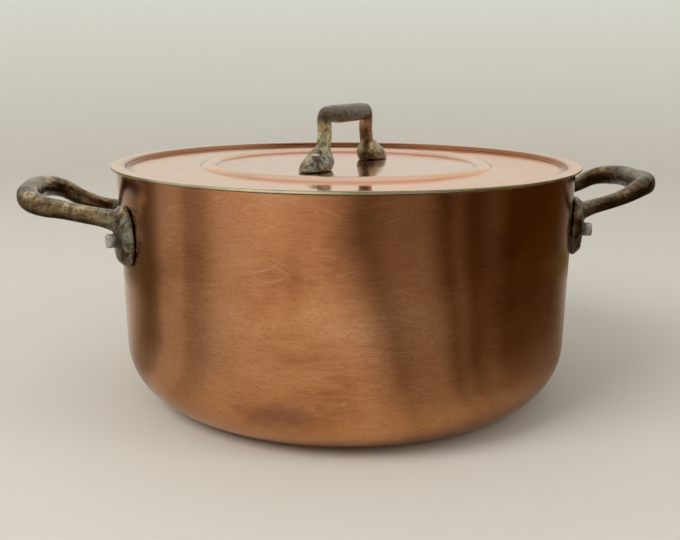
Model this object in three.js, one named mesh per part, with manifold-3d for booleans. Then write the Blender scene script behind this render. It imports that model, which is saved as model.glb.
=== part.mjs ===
// Lidded copper stockpot, 24 cm across the rim. Millimetres, +Z up.
// The origin is the centre of the flat base; the two side handles lie on -X and +X.
import * as THREE from 'three';
import { mergeVertices } from 'three/addons/utils/BufferGeometryUtils.js';
import Module from 'manifold-3d';

const wasm = await Module();
wasm.setup();

// Body: one spun copper pan, tinned inside
const POT_RADIUS = 120;           // outside, at the rim
const POT_HEIGHT = 122.5;
const POT_WALL = 2.2;
const POT_FLOOR = 2.6;
const POT_TAPER = 1.6;            // radius lost between the rim and the bottom corner
const CORNER_RADIUS = 31;         // outside bend from wall to base
const RIM_EASE = 0.7;             // small rounding of the cut rim

// Lid: pressed copper sheet with a flange that rests on the rim
const LID_SHEET = 1.4;
const LID_OVERHANG = 3;           // flange past the outside of the body
const LID_SEAT_GAP = 0.3;         // flange above the rim
const LID_SIDE_GAP = 1;           // drop wall inside the body
const LID_DROP = 2.2;             // field and middle disc below the flange
const LID_BEND = 1.5;             // bend from the flange to the drop wall
const BEAD_RADIUS = 72.9;         // crest of the pressed ring
const BEAD_HALF_WIDTH = 4.6;
const BEAD_RISE = 2.1;            // crest above the field

// Side handles: cast bronze, a bail that grows out of two riveted pads
const PAD_ANGLE = THREE.MathUtils.degToRad(19.3);   // of each pad from the handle's middle
const PAD_HALF_WIDTH = 12.3;      // along the wall
const PAD_HALF_HEIGHT = 15;
const PAD_BELOW_RIM = 29.2;       // middle of a front pad below the rim
const PAD_CROWN = 6;              // thickness in the middle
const PAD_EDGE = 1.8;             // thickness at the outline
const PAD_BEVEL = 2.2;
const WEB_THICKNESS = 2.5;        // strip between the pads
const WEB_HALF_HEIGHT = 8.5;
const WEB_RISE = 2;               // middle of the strip above the middle of the pads
const WEB_SPREAD = 3.2;           // growth of its half height at the pads
const BAIL_REACH = 49.7;          // outermost face beyond the pot's radius
const BAIL_HALF_SPAN = 31.6;      // of the straight prongs
const ROOT_RISE = 7.8;            // prong roots above the pads' centres
const FRONT_PRONG = [0.21, 0.53, 0.88];   // heights on the way out, as shares of the prong's rise
const BACK_PRONG = [0.05, 0.43, 0.83];
const CROSSBAR_HALF = 5.5;
const ROOT_FLARE = 1.3;           // growth of a prong where it meets its pad, twice that downwards
const FLARE_LENGTH = 8;
const HANDLE_SEAT_GAP = 0.3;      // casting to wall

// Where the two castings differ: they are bent and filed by hand
const RIGHT_PRONG_HALF = 3.7;
const LEFT_PRONG_HALF = 4.4;
const RIGHT_BAIL_RISE = 11;       // crossbar above the front root
const LEFT_BAIL_RISE = 9.7;
const RIGHT_BACK_DROP = 2.5;      // the back end of a casting below its front end
const LEFT_BACK_DROP = 5;
const LEFT_SAG = 2.4;             // of the bail's front corner
const LEFT_LOWER = 1;             // left handle below the right one

// Rivets of the side handles
const RIVET_SHANK = 3;            // radius
const RIVET_TAIL = 3.4;           // radius of the outer end
const RIVET_TAIL_LENGTH = 4.4;
const RIVET_TAIL_CHAMFER = 0.8;
const RIVET_HEAD = 5.6;           // radius of the head inside the pot
const RIVET_HEAD_HEIGHT = 2.2;
const RIVET_DROP = 1.7;           // rivets below the pads' centres
const SPOT_DEPTH = 0.3;           // spot face cut into the pad round a rivet
const HOLE_CLEARANCE = 0.3;
const FACE_CLEARANCE = 0.35;

// Lid handle: cast bronze bail on two toes
const LID_HANDLE_TURN = THREE.MathUtils.degToRad(57);
const GRIP_HEIGHT = 32;           // top of the grip above the disc
const GRIP_HALF_HEIGHT = 4.8;
const GRIP_HALF_WIDTH = 5;
const GRIP_HALF_SPAN = 24.5;      // leg middles at the shoulder
const LEG_HALF = 3.6;
const LEG_LEAN = 4;               // outward lean of a leg towards its foot
const SHOULDER = 5;               // bend between leg and grip
const FOOT_CENTRE = 36.6;         // from the handle's middle
const FOOT_HALF_LENGTH = 12.5;
const FOOT_HALF_WIDTH = 7.3;
const FOOT_HEIGHT = 11.7;
const FOOT_RIM = 2.6;             // upright edge of the foot
const FOOT_SEAT_GAP = 0.3;
const LID_RIVET_SHANK = 2.4;
const LID_RIVET_HEAD = 3.2;
const LID_RIVET_HEAD_HEIGHT = 1.8;
const LID_RIVET_SEAT = 6.6;       // spot face on the toe, above the disc
const LID_RIVET_OFFSET = 0.5;     // rivet inside the middle of the foot
const LID_CLENCH = 1.6;           // flat end of the rivet under the lid

const POT_SEGMENTS = 76;
const LID_SEGMENTS = 60;
const RIVET_SEGMENTS = 16;
const SQUARENESS = 2.5;           // of the cast sections and the pads, 2 is round

// Finishes
const COPPER = { color: 0xb87348, roughness: 0.24, metalness: 1 };
const LID_COPPER = { color: 0xd9a184, roughness: 0.2, metalness: 1 };
const BRONZE = { color: 0x6b5a44, roughness: 0.42, metalness: 1 };
const IRON_GREY = { color: 0x8a8880, roughness: 0.45, metalness: 1 };

// Heights and radii that follow from the sizes above
const flangeUnder = POT_HEIGHT + LID_SEAT_GAP;
const flangeTop = flangeUnder + LID_SHEET;
const discTop = flangeTop - LID_DROP;
const padZ = POT_HEIGHT - PAD_BELOW_RIM;
const rivetZ = padZ - RIVET_DROP;

// The two ends of a side handle, front at -Y and back at +Y
function endsOf(backDrop, frontSag) {
  return [
    { end: 'a', turn: -1, drop: 0, sag: frontSag, prong: FRONT_PRONG },
    { end: 'b', turn: 1, drop: backDrop, sag: 0, prong: BACK_PRONG },
  ];
}

// The two side handles. The left one is drawn on the right side of the pot and mirrored.
const SIDES = [
  {
    side: 'right',
    mirrored: false,
    lower: 0,
    bailRise: RIGHT_BAIL_RISE,
    prongHalf: RIGHT_PRONG_HALF,
    ends: endsOf(RIGHT_BACK_DROP, 0),
  },
  {
    side: 'left',
    mirrored: true,
    lower: LEFT_LOWER,
    bailRise: LEFT_BAIL_RISE,
    prongHalf: LEFT_PRONG_HALF,
    ends: endsOf(LEFT_BACK_DROP, LEFT_SAG),
  },
];

// Outside radius of the body above its bottom corner
function wallRadius(z) {
  return POT_RADIUS - POT_TAPER * (POT_HEIGHT - z) / (POT_HEIGHT - CORNER_RADIUS);
}

// Points of an arc, angles in turns of a right angle
function arc(x, y, radiusX, radiusY, from, to, steps) {
  const quarter = Math.PI / 2;
  const curve = new THREE.EllipseCurve(x, y, radiusX, radiusY, from * quarter, to * quarter, to < from);
  return curve.getPoints(steps);
}

// Turns a profile of radius and height about the upright axis
function turned(profile, segments) {
  return new THREE.LatheGeometry(profile, segments).rotateX(Math.PI / 2);
}

// Makes a closed geometry into a solid that can be joined and cut
function solidOf(geometry) {
  const bare = geometry.clone();
  bare.deleteAttribute('normal');
  bare.deleteAttribute('uv');
  const merged = mergeVertices(bare, 1e-4);
  const corners = merged.index.array;
  const triVerts = [];
  for (let i = 0; i < corners.length; i += 3) {
    const [a, b, c] = corners.slice(i, i + 3);
    if (a !== b && b !== c && c !== a) triVerts.push(a, b, c);
  }
  const vertProperties = new Float32Array(merged.attributes.position.array);
  const mesh = new wasm.Mesh({ numProp: 3, vertProperties, triVerts: new Uint32Array(triVerts) });
  return new wasm.Manifold(mesh);
}

function geometryOf(solid) {
  const { vertProperties, triVerts } = solid.getMesh();
  const geometry = new THREE.BufferGeometry();
  geometry.setAttribute('position', new THREE.BufferAttribute(vertProperties, 3));
  geometry.setIndex(new THREE.BufferAttribute(triVerts, 1));
  geometry.computeVertexNormals();
  return geometry;
}

// Applies a change of place to every point of a geometry
function reshaped(geometry, place) {
  const points = geometry.attributes.position;
  const point = new THREE.Vector3();
  for (let i = 0; i < points.count; i += 1) {
    place(point.fromBufferAttribute(points, i));
    points.setXYZ(i, point.x, point.y, point.z);
  }
  return geometry;
}

// A round bar along a radial line of the pot, from one radius to another
function radialPeg(radius, from, to, angle, z) {
  const peg = new THREE.CylinderGeometry(radius, radius, to - from, RIVET_SEGMENTS);
  peg.rotateZ(-Math.PI / 2).translate((from + to) / 2, 0, z).rotateZ(angle);
  return solidOf(peg);
}

// An upright round bar
function uprightPeg(radius, from, to, x) {
  const peg = new THREE.CylinderGeometry(radius, radius, to - from, RIVET_SEGMENTS);
  peg.rotateX(Math.PI / 2).translate(x, 0, (from + to) / 2);
  return solidOf(peg);
}

// A point on the outline of a rounded square that reaches from -1 to 1
function squared(angle) {
  const bulge = (value) => Math.sign(value) * Math.abs(value) ** (2 / SQUARENESS);
  return new THREE.Vector2(bulge(Math.cos(angle)), bulge(Math.sin(angle)));
}

// A cast bar: a rounded section that follows a curve and changes size along it.
// The section's own height lies along the given direction, and it can sink below the curve.
function castBar(curve, steps, sides, sizeAt, heightwards) {
  const corners = Array.from({ length: sides }, (_, i) => squared(2 * Math.PI * (i + 0.5) / sides));
  const outline = new THREE.Shape(corners);
  const bar = new THREE.ExtrudeGeometry(outline, { depth: 1, steps, bevelEnabled: false });
  return reshaped(bar, (point) => {
    const along = THREE.MathUtils.clamp(point.z, 0, 1);
    const { width, height, sink } = sizeAt(along);
    const ahead = curve.getTangentAt(along);
    const up = heightwards.clone().addScaledVector(ahead, -heightwards.dot(ahead)).normalize();
    const side = up.clone().cross(ahead);
    const offset = side.multiplyScalar(point.x * width).addScaledVector(up, point.y * height - sink);
    point.copy(curve.getPointAt(along)).add(offset);
  });
}

function named(name, geometry, finish) {
  const mesh = new THREE.Mesh(geometry, new THREE.MeshStandardMaterial(finish));
  mesh.name = name;
  return mesh;
}

// Body

function bodyProfile() {
  const foot = wallRadius(CORNER_RADIUS);
  const cornerX = foot - CORNER_RADIUS;
  const rimInner = POT_RADIUS - POT_WALL;
  const innerX = CORNER_RADIUS - POT_WALL;
  const innerY = CORNER_RADIUS - POT_FLOOR;
  return [
    new THREE.Vector2(0, 0),
    ...arc(cornerX, CORNER_RADIUS, CORNER_RADIUS, CORNER_RADIUS, -1, 0, 7),
    ...arc(POT_RADIUS - RIM_EASE, POT_HEIGHT - RIM_EASE, RIM_EASE, RIM_EASE, 0, 1, 1),
    ...arc(rimInner + RIM_EASE, POT_HEIGHT - RIM_EASE, RIM_EASE, RIM_EASE, 1, 2, 1),
    ...arc(cornerX, CORNER_RADIUS, innerX, innerY, 0, -1, 6),
    new THREE.Vector2(0, POT_FLOOR),
  ];
}

// Angle round the pot of a rivet of the side handles
function rivetAngle(mirrored, turn) {
  return mirrored ? Math.PI - turn * PAD_ANGLE : turn * PAD_ANGLE;
}

function potBody() {
  let body = solidOf(turned(bodyProfile(), POT_SEGMENTS));
  const from = POT_RADIUS - 3 * POT_WALL;
  const to = POT_RADIUS + POT_WALL;
  for (const { mirrored, lower, ends } of SIDES) {
    for (const { turn, drop } of ends) {
      const angle = rivetAngle(mirrored, turn);
      body = body.subtract(radialPeg(RIVET_SHANK + HOLE_CLEARANCE, from, to, angle, rivetZ - drop - lower));
    }
  }
  return geometryOf(body);
}

// Side handles

// Lays a flat form of width along the wall, height and thickness against the wall
function wrapOnWall(point) {
  const radius = wallRadius(point.y) + point.z;
  const angle = point.x / POT_RADIUS;
  point.set(radius * Math.cos(angle), radius * Math.sin(angle), point.y);
}

function handlePad(turn, drop) {
  const rings = [0, 0.3, 0.6, 0.85].map((share) => {
    const thickness = PAD_CROWN - (PAD_CROWN - PAD_EDGE) * 0.3 * share ** 2;
    return new THREE.Vector2(share * (1 - PAD_BEVEL / PAD_HALF_WIDTH), thickness);
  });
  const bevelFoot = PAD_EDGE + (PAD_CROWN - PAD_EDGE) * 0.65;
  const profile = [
    new THREE.Vector2(0, 0),
    new THREE.Vector2(0.5, 0),
    new THREE.Vector2(1, 0),
    new THREE.Vector2(1, PAD_EDGE),
    new THREE.Vector2(1 - PAD_BEVEL / PAD_HALF_WIDTH, bevelFoot),
    ...rings.reverse(),
  ];
  const pad = turned(profile, 24);
  return reshaped(pad, (point) => {
    const share = Math.hypot(point.x, point.y);
    const outline = squared(Math.atan2(point.y, point.x)).multiplyScalar(share);
    const along = turn * PAD_ANGLE * POT_RADIUS + outline.x * PAD_HALF_WIDTH;
    point.set(along, padZ - drop + outline.y * PAD_HALF_HEIGHT, point.z);
    wrapOnWall(point);
  });
}

function handleWeb(backDrop) {
  const halfLength = PAD_ANGLE * POT_RADIUS;
  const web = new THREE.BoxGeometry(2, 2, WEB_THICKNESS, 14, 2, 1);
  return reshaped(web, (point) => {
    const middle = padZ + WEB_RISE - backDrop * (1 + point.x) / 2;
    const height = WEB_HALF_HEIGHT + WEB_SPREAD * point.x ** 2;
    point.set(point.x * halfLength, middle + point.y * height, point.z + WEB_THICKNESS / 2);
    wrapOnWall(point);
  });
}

// Points of one prong, from its root out to the corner of the crossbar
function prongLine({ turn, drop, sag, prong }, bailRise) {
  const rootX = POT_RADIUS * Math.cos(PAD_ANGLE);
  const rootY = POT_RADIUS * Math.sin(PAD_ANGLE);
  const rootZ = padZ + ROOT_RISE - drop;
  const rise = bailRise + drop;
  const gripX = POT_RADIUS + BAIL_REACH - CROSSBAR_HALF;
  const reach = gripX - rootX;
  const [low, middle, high] = prong;
  const towardsSpan = (share) => THREE.MathUtils.lerp(rootY, BAIL_HALF_SPAN, share);
  return [
    [rootX, rootY, rootZ],
    [rootX + 0.32 * reach, towardsSpan(0.45), rootZ + low * rise],
    [rootX + 0.6 * reach, towardsSpan(0.84), rootZ + middle * rise - 0.2 * sag],
    [gripX - 0.33 * BAIL_HALF_SPAN, 0.94 * BAIL_HALF_SPAN, rootZ + high * rise - sag],
    [gripX - 0.07 * BAIL_HALF_SPAN, 0.6 * BAIL_HALF_SPAN, rootZ + rise - 0.6 * sag],
  ].map(([x, y, z]) => new THREE.Vector3(x, turn * y, z));
}

function handleBail({ bailRise, prongHalf, ends }) {
  const [front, back] = ends.map((end) => prongLine(end, bailRise));
  const middle = new THREE.Vector3(POT_RADIUS + BAIL_REACH - CROSSBAR_HALF, 0, padZ + ROOT_RISE + bailRise);
  const curve = new THREE.CatmullRomCurve3([...back, middle, ...front.reverse()], false, 'centripetal');
  const length = curve.getLength();
  const sizeAt = (along) => {
    const fromEnd = Math.min(along, 1 - along);
    const belly = THREE.MathUtils.smoothstep(fromEnd, 0.15, 0.38);
    const flare = ROOT_FLARE * Math.exp(-((fromEnd * length / FLARE_LENGTH) ** 2));
    const size = prongHalf + (CROSSBAR_HALF - prongHalf) * belly + flare;
    return { width: size, height: size, sink: flare };
  };
  return castBar(curve, 34, 12, sizeAt, new THREE.Vector3(0, 0, 1));
}

// The room that the body takes, with the handle's clearance
function bodyRoom() {
  const low = CORNER_RADIUS;
  const room = turned([
    new THREE.Vector2(0, low),
    new THREE.Vector2(wallRadius(low) + HANDLE_SEAT_GAP, low),
    new THREE.Vector2(wallRadius(POT_HEIGHT) + HANDLE_SEAT_GAP, POT_HEIGHT),
    new THREE.Vector2(0, POT_HEIGHT),
  ], POT_SEGMENTS);
  return solidOf(room);
}

// Radius of the spot face round a rivet at a height
function padFace(z) {
  return wallRadius(z) + PAD_CROWN - SPOT_DEPTH;
}

function sideHandle(casting) {
  const [, back] = casting.ends;
  let solid = solidOf(handleWeb(back.drop)).add(solidOf(handleBail(casting)));
  for (const { turn, drop } of casting.ends) {
    solid = solid.add(solidOf(handlePad(turn, drop)));
  }
  solid = solid.subtract(bodyRoom());
  for (const { turn, drop } of casting.ends) {
    const z = rivetZ - drop;
    const past = padFace(z) + BAIL_REACH;
    const angle = turn * PAD_ANGLE;
    solid = solid.subtract(radialPeg(RIVET_SHANK + HOLE_CLEARANCE, POT_RADIUS / 2, past, angle, z));
    solid = solid.subtract(radialPeg(RIVET_TAIL + FACE_CLEARANCE, padFace(z), past, angle, z));
  }
  return geometryOf(casting.mirrored ? solid.mirror([1, 0, 0]) : solid);
}

// A rivet along the +X axis for a height on the wall: flat domed head inside, chamfered tail outside
function handleRivet(z) {
  const innerWall = wallRadius(z) - POT_WALL;
  const innerFace = Math.sqrt(innerWall ** 2 - RIVET_HEAD ** 2) - HOLE_CLEARANCE;
  const tailFace = padFace(z) + HOLE_CLEARANCE;
  const tailEnd = tailFace + RIVET_TAIL_LENGTH;
  const profile = [
    ...arc(0, innerFace, RIVET_HEAD, RIVET_HEAD_HEIGHT, -1, 0, 3),
    new THREE.Vector2(RIVET_SHANK, innerFace),
    new THREE.Vector2(RIVET_SHANK, tailFace),
    new THREE.Vector2(RIVET_TAIL, tailFace),
    new THREE.Vector2(RIVET_TAIL, tailEnd - RIVET_TAIL_CHAMFER),
    new THREE.Vector2(RIVET_TAIL - RIVET_TAIL_CHAMFER, tailEnd),
    new THREE.Vector2(0, tailEnd),
  ];
  return geometryOf(solidOf(turned(profile, RIVET_SEGMENTS).rotateY(Math.PI / 2)));
}

// Lid

// The top side of the pressed sheet, from the edge of the flange in to the middle
function lidTopLine() {
  const wall = POT_RADIUS - POT_WALL - LID_SIDE_GAP - LID_SHEET;
  const foot = LID_DROP - LID_BEND;
  const beadBend = (BEAD_HALF_WIDTH ** 2 + BEAD_RISE ** 2) / (2 * BEAD_RISE);
  const beadTurn = Math.asin(BEAD_HALF_WIDTH / beadBend) / (Math.PI / 2);
  const beadCentre = discTop + BEAD_RISE - beadBend;
  return [
    new THREE.Vector2(POT_RADIUS + LID_OVERHANG, flangeTop),
    ...arc(wall + LID_BEND, flangeTop - LID_BEND, LID_BEND, LID_BEND, 1, 2, 3),
    ...arc(wall - foot, discTop + foot, foot, foot, 0, -1, 2).slice(1),
    ...arc(BEAD_RADIUS, beadCentre, beadBend, beadBend, 1 - beadTurn, 1 + beadTurn, 6),
    new THREE.Vector2(0, discTop),
  ];
}

// The under side of a sheet whose top side is given as a line that runs inwards
function undersideOf(line, thickness) {
  return line.map((point, i) => {
    const before = line[Math.max(i - 1, 0)];
    const after = line[Math.min(i + 1, line.length - 1)];
    const run = after.clone().sub(before).normalize();
    return new THREE.Vector2(point.x - run.y * thickness, point.y + run.x * thickness);
  });
}

function lidPan() {
  const top = lidTopLine();
  const profile = [...undersideOf(top, LID_SHEET).reverse(), ...top];
  let pan = solidOf(turned(profile, LID_SEGMENTS));
  for (const side of [-1, 1]) {
    const x = side * lidRivetX;
    const hole = uprightPeg(LID_RIVET_SHANK + HOLE_CLEARANCE, discTop - LID_SHEET, flangeTop, x);
    pan = pan.subtract(hole.rotate([0, 0, THREE.MathUtils.radToDeg(LID_HANDLE_TURN)]));
  }
  return geometryOf(pan);
}

// Lid handle. It is made along X, and its group turns it on the lid.

function lidFoot(side) {
  const legX = GRIP_HALF_SPAN + LEG_LEAN;
  const rim = FOOT_RIM / FOOT_HEIGHT;
  const profile = [
    [0, 0], [0.55, 0], [0.96, 0], [1, 0.4 * rim], [1, rim], [0.97, 0.36],
    [0.87, 0.5], [0.74, 0.64], [0.62, 0.78], [0.52, 0.9], [0.4, 1], [0, 1],
  ].map(([share, height]) => new THREE.Vector2(share, height));
  const foot = turned(profile, 24);
  return reshaped(foot, (point) => {
    const middle = THREE.MathUtils.lerp(FOOT_CENTRE, legX, point.z);
    const seat = discTop + FOOT_SEAT_GAP;
    const x = side * middle + point.x * FOOT_HALF_LENGTH;
    point.set(x, point.y * FOOT_HALF_WIDTH, seat + point.z * (FOOT_HEIGHT - FOOT_SEAT_GAP));
  });
}

function lidBail() {
  const gripZ = discTop + GRIP_HEIGHT - GRIP_HALF_HEIGHT;
  const bendX = GRIP_HALF_SPAN - SHOULDER;
  const bendZ = gripZ - SHOULDER;
  const legFoot = discTop + FOOT_RIM;
  const shoulder = arc(bendX, bendZ, SHOULDER, SHOULDER, 0, 1, 2);
  const half = [
    [GRIP_HALF_SPAN + LEG_LEAN, legFoot],
    [GRIP_HALF_SPAN + 0.6 * LEG_LEAN, THREE.MathUtils.lerp(legFoot, bendZ, 0.45)],
    ...shoulder.map((p) => [p.x, p.y]),
  ];
  const line = [...half, [0, gripZ], ...half.map(([x, z]) => [-x, z]).reverse()];
  const places = line.map(([x, z]) => new THREE.Vector3(x, 0, z));
  const curve = new THREE.CatmullRomCurve3(places, false, 'centripetal');
  const sizeAt = (along) => {
    const fromEnd = Math.min(along, 1 - along);
    const grip = THREE.MathUtils.smoothstep(fromEnd, 0.18, 0.42);
    return {
      width: THREE.MathUtils.lerp(LEG_HALF, GRIP_HALF_HEIGHT, grip),
      height: THREE.MathUtils.lerp(LEG_HALF, GRIP_HALF_WIDTH, grip),
      sink: 0,
    };
  };
  return castBar(curve, 30, 12, sizeAt, new THREE.Vector3(0, 1, 0));
}

const lidRivetX = FOOT_CENTRE - LID_RIVET_OFFSET;
const toeFace = discTop + LID_RIVET_SEAT;

function lidHandle() {
  let casting = solidOf(lidBail());
  for (const side of [-1, 1]) {
    casting = casting.add(solidOf(lidFoot(side)));
  }
  for (const side of [-1, 1]) {
    const x = side * lidRivetX;
    const above = toeFace + GRIP_HEIGHT;
    casting = casting.subtract(uprightPeg(LID_RIVET_SHANK + HOLE_CLEARANCE, discTop, above, x));
    casting = casting.subtract(uprightPeg(LID_RIVET_HEAD + FACE_CLEARANCE, toeFace, above, x));
  }
  return geometryOf(casting);
}

// A lid rivet: clenched flat under the sheet, low dome on the toe
function lidRivet() {
  const under = discTop - LID_SHEET - HOLE_CLEARANCE;
  const seat = toeFace + HOLE_CLEARANCE;
  const profile = [
    new THREE.Vector2(0, under - LID_CLENCH),
    new THREE.Vector2(0.75 * LID_RIVET_HEAD, under - LID_CLENCH),
    new THREE.Vector2(LID_RIVET_HEAD, under - 0.4 * LID_CLENCH),
    new THREE.Vector2(LID_RIVET_HEAD, under),
    new THREE.Vector2(LID_RIVET_SHANK, under),
    new THREE.Vector2(LID_RIVET_SHANK, seat),
    new THREE.Vector2(LID_RIVET_HEAD, seat),
    ...arc(0, seat + 0.4, LID_RIVET_HEAD, LID_RIVET_HEAD_HEIGHT - 0.4, 0, 1, 3),
  ];
  return geometryOf(solidOf(turned(profile, RIVET_SEGMENTS)));
}

// The assembly

const pot = new THREE.Group();
pot.add(named('pot_body', potBody(), COPPER));

for (const casting of SIDES) {
  const { side, lower, ends } = casting;
  const handle = new THREE.Group();
  handle.position.z = -lower;
  handle.add(named(`${side}_handle`, sideHandle(casting), BRONZE));
  for (const { end, turn, drop } of ends) {
    const rivet = named(`${side}_handle_rivet_${end}`, handleRivet(rivetZ - drop), IRON_GREY);
    rivet.position.z = rivetZ - drop;
    rivet.rotation.z = rivetAngle(casting.mirrored, turn);
    handle.add(rivet);
  }
  pot.add(handle);
}

const lid = new THREE.Group();
lid.add(named('lid_pan', lidPan(), LID_COPPER));
const grip = new THREE.Group();
grip.rotation.z = LID_HANDLE_TURN;
grip.add(named('lid_handle', lidHandle(), BRONZE));
for (const [end, side] of [['a', -1], ['b', 1]]) {
  const rivet = named(`lid_rivet_${end}`, lidRivet(), IRON_GREY);
  rivet.position.x = side * lidRivetX;
  grip.add(rivet);
}
lid.add(grip);

const stockpot = new THREE.Group();
stockpot.add(pot, lid);

export default stockpot;
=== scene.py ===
from bisect import bisect_right
from math import asin, copysign, cos, exp, pi, radians, sin

import bmesh
import bpy
from mathutils import Matrix, Vector


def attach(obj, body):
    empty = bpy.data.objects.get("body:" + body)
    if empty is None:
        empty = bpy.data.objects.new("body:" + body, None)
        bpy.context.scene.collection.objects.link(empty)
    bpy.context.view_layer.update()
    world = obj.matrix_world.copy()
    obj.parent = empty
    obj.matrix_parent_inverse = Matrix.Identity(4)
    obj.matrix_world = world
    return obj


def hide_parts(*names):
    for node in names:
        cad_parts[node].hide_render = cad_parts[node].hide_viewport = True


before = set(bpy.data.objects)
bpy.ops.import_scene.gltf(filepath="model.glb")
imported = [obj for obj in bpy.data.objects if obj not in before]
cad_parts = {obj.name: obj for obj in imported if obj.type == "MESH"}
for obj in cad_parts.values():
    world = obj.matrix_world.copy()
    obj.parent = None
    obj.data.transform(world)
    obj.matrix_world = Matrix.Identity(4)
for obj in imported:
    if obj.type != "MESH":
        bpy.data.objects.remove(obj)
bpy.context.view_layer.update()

# Body
# The body is one round copper sheet, spun over a form into a pan with a wide bottom bend.
# Its rim is cut and eased, its outside polished on the lathe, its inside wiped with tin.

RIM_RADIUS = 0.120
POT_HEIGHT = 0.1225
WALL = 0.0022
FLOOR = 0.0026
WALL_TAPER = 0.0016
BOTTOM_BEND = 0.031
RIM_EASE = 0.0006
NEAR_RIM = POT_HEIGHT - 0.0012
SHEET_TURNS = 240
# Heights over which the painted amber reflection in the bottom bend fades in.
AMBER_REFLECTION_BAND = (0.044, 0.006)
BROWN_BAND = (0.070, 0.114)
SMUDGE_PLACE = (-0.046, -0.108, 0.023)
SMUDGE_SIZE = (0.023, 0.022, 0.010)


def wall_radius(height):
    return RIM_RADIUS - WALL_TAPER * (POT_HEIGHT - height) / (POT_HEIGHT - BOTTOM_BEND)


def draw_line(bm, places):
    """The line that is to be turned on the lathe, through places of radius and height."""
    corners = [bm.verts.new((radius, 0, height)) for radius, height in places]
    for start, end in zip(corners, corners[1:]):
        bm.edges.new((start, end))
    return corners


def round_corner(bm, corners, radius, steps):
    bmesh.ops.bevel(bm, geom=corners, offset=radius, offset_type="OFFSET", segments=steps,
                    profile=0.5, affect="VERTICES", material=-1)


def turn_on_lathe(bm, turns):
    bmesh.ops.spin(bm, geom=bm.verts[:] + bm.edges[:], cent=(0, 0, 0), axis=(0, 0, 1),
                   angle=2 * pi, steps=turns, use_merge=True)
    bmesh.ops.remove_doubles(bm, verts=bm.verts[:], dist=1e-6)
    bmesh.ops.recalc_face_normals(bm, faces=bm.faces[:])


def make_piece(name, bm, finishes):
    for face in bm.faces:
        face.smooth = True
    mesh = bpy.data.meshes.new(name)
    bm.to_mesh(mesh)
    bm.free()
    piece = bpy.data.objects.new(name, mesh)
    bpy.context.collection.objects.link(piece)
    for finish in finishes:
        mesh.materials.append(finish)
    return piece


def fit_piece(piece, body, slot_name, *nodes):
    """The finished piece rides on its body and stands for its CAD nodes."""
    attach(piece, body)
    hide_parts(*nodes)


def new_finish(name):
    finish = bpy.data.materials.new(name)
    finish.use_nodes = True
    tree = finish.node_tree
    return finish, tree, tree.nodes["Principled BSDF"]


def put(tree, kind, inputs=(), **settings):
    """Puts a node in a finish. Inputs are values or the outputs of other nodes."""
    made = tree.nodes.new("ShaderNode" + kind)
    for key, value in settings.items():
        setattr(made, key, value)
    for key, value in dict(inputs).items():
        feed(tree, made.inputs[key], value)
    return made


def feed(tree, socket, value):
    if isinstance(value, bpy.types.NodeSocket):
        tree.links.new(value, socket)
    else:
        socket.default_value = value


def piece_coordinates(tree):
    """Where each point of a piece lies, in metres from the middle of the pot's base."""
    return put(tree, "TexCoord").outputs["Object"]


def along(tree, axis):
    return put(tree, "SeparateXYZ", {0: piece_coordinates(tree)}).outputs[axis]


def sums(tree, operation, first, second):
    return put(tree, "Math", {0: first, 1: second}, operation=operation).outputs[0]


def times(tree, first, second):
    return sums(tree, "MULTIPLY", first, second)


def apart(tree, first, second):
    """How far one value is from another, never below 0."""
    return sums(tree, "ABSOLUTE", sums(tree, "SUBTRACT", first, second), 0.0)


def mottle(tree, scale, stretch=(1, 1, 1), detail=4.0, roughness=0.55, distortion=0.0, move=(0, 0, 0)):
    """A cloudy pattern from 0 to 1, fixed to the piece. Stretch above 1 makes it finer that way."""
    laid = put(tree, "Mapping", {"Vector": piece_coordinates(tree), "Scale": stretch, "Location": move})
    cloud = put(tree, "TexNoise", {"Vector": laid.outputs[0], "Scale": scale, "Detail": detail,
                                   "Roughness": roughness, "Distortion": distortion})
    return cloud.outputs["Fac"]


def between(tree, value, low, high, new_low=0.0, new_high=1.0):
    """Takes a value from one span to another and holds it there. Low may be above high."""
    span = put(tree, "MapRange", {"Value": value, "From Min": low, "From Max": high,
                                  "To Min": new_low, "To Max": new_high})
    return span.outputs["Result"]


def tones(tree, share, stops):
    """Colours along a share from 0 to 1."""
    ramp = put(tree, "ValToRGB", {"Fac": share})
    points = ramp.color_ramp.elements
    while len(points) < len(stops):
        points.new(1.0)
    for point, (place, colour) in zip(points, stops):
        point.position = place
        point.color = (*colour, 1)
    return ramp.outputs["Color"]


def over(tree, share, under, upper):
    """Lays one colour over another by a share."""
    mix = put(tree, "Mix", {0: share, 6: under, 7: upper}, data_type="RGBA")
    return mix.outputs[2]


def patch(tree, centre, size, ragged=0.0):
    """1 at a place on the piece, fading to 0 at size metres from it along each axis."""
    shift = put(tree, "VectorMath", {0: piece_coordinates(tree), 1: centre}, operation="SUBTRACT").outputs[0]
    scaled = put(tree, "VectorMath", {0: shift, 1: size}, operation="DIVIDE").outputs[0]
    far = put(tree, "VectorMath", {0: scaled}, operation="LENGTH").outputs["Value"]
    if ragged:
        far = sums(tree, "ADD", far, times(tree, mottle(tree, 90), ragged))
        far = sums(tree, "SUBTRACT", far, ragged / 2)
    return between(tree, far, 1.0, 0.25)


def hair_lines(tree, tilt, move):
    """Thin scratches at a tilt, where a long drawn-out cloud passes its middle value. They come and go."""
    laid = put(tree, "Mapping", {"Vector": piece_coordinates(tree), "Location": move,
                                 "Rotation": (0, tilt, 0), "Scale": (1, 1, 0.03)}, vector_type="TEXTURE")
    grooves = put(tree, "TexNoise", {"Vector": laid.outputs[0], "Scale": 14, "Detail": 1}).outputs["Fac"]
    rubbed = between(tree, mottle(tree, 60, move=move), 0.50, 0.60)
    return times(tree, between(tree, apart(tree, grooves, 0.5), 0.016, 0.003), rubbed)


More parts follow.
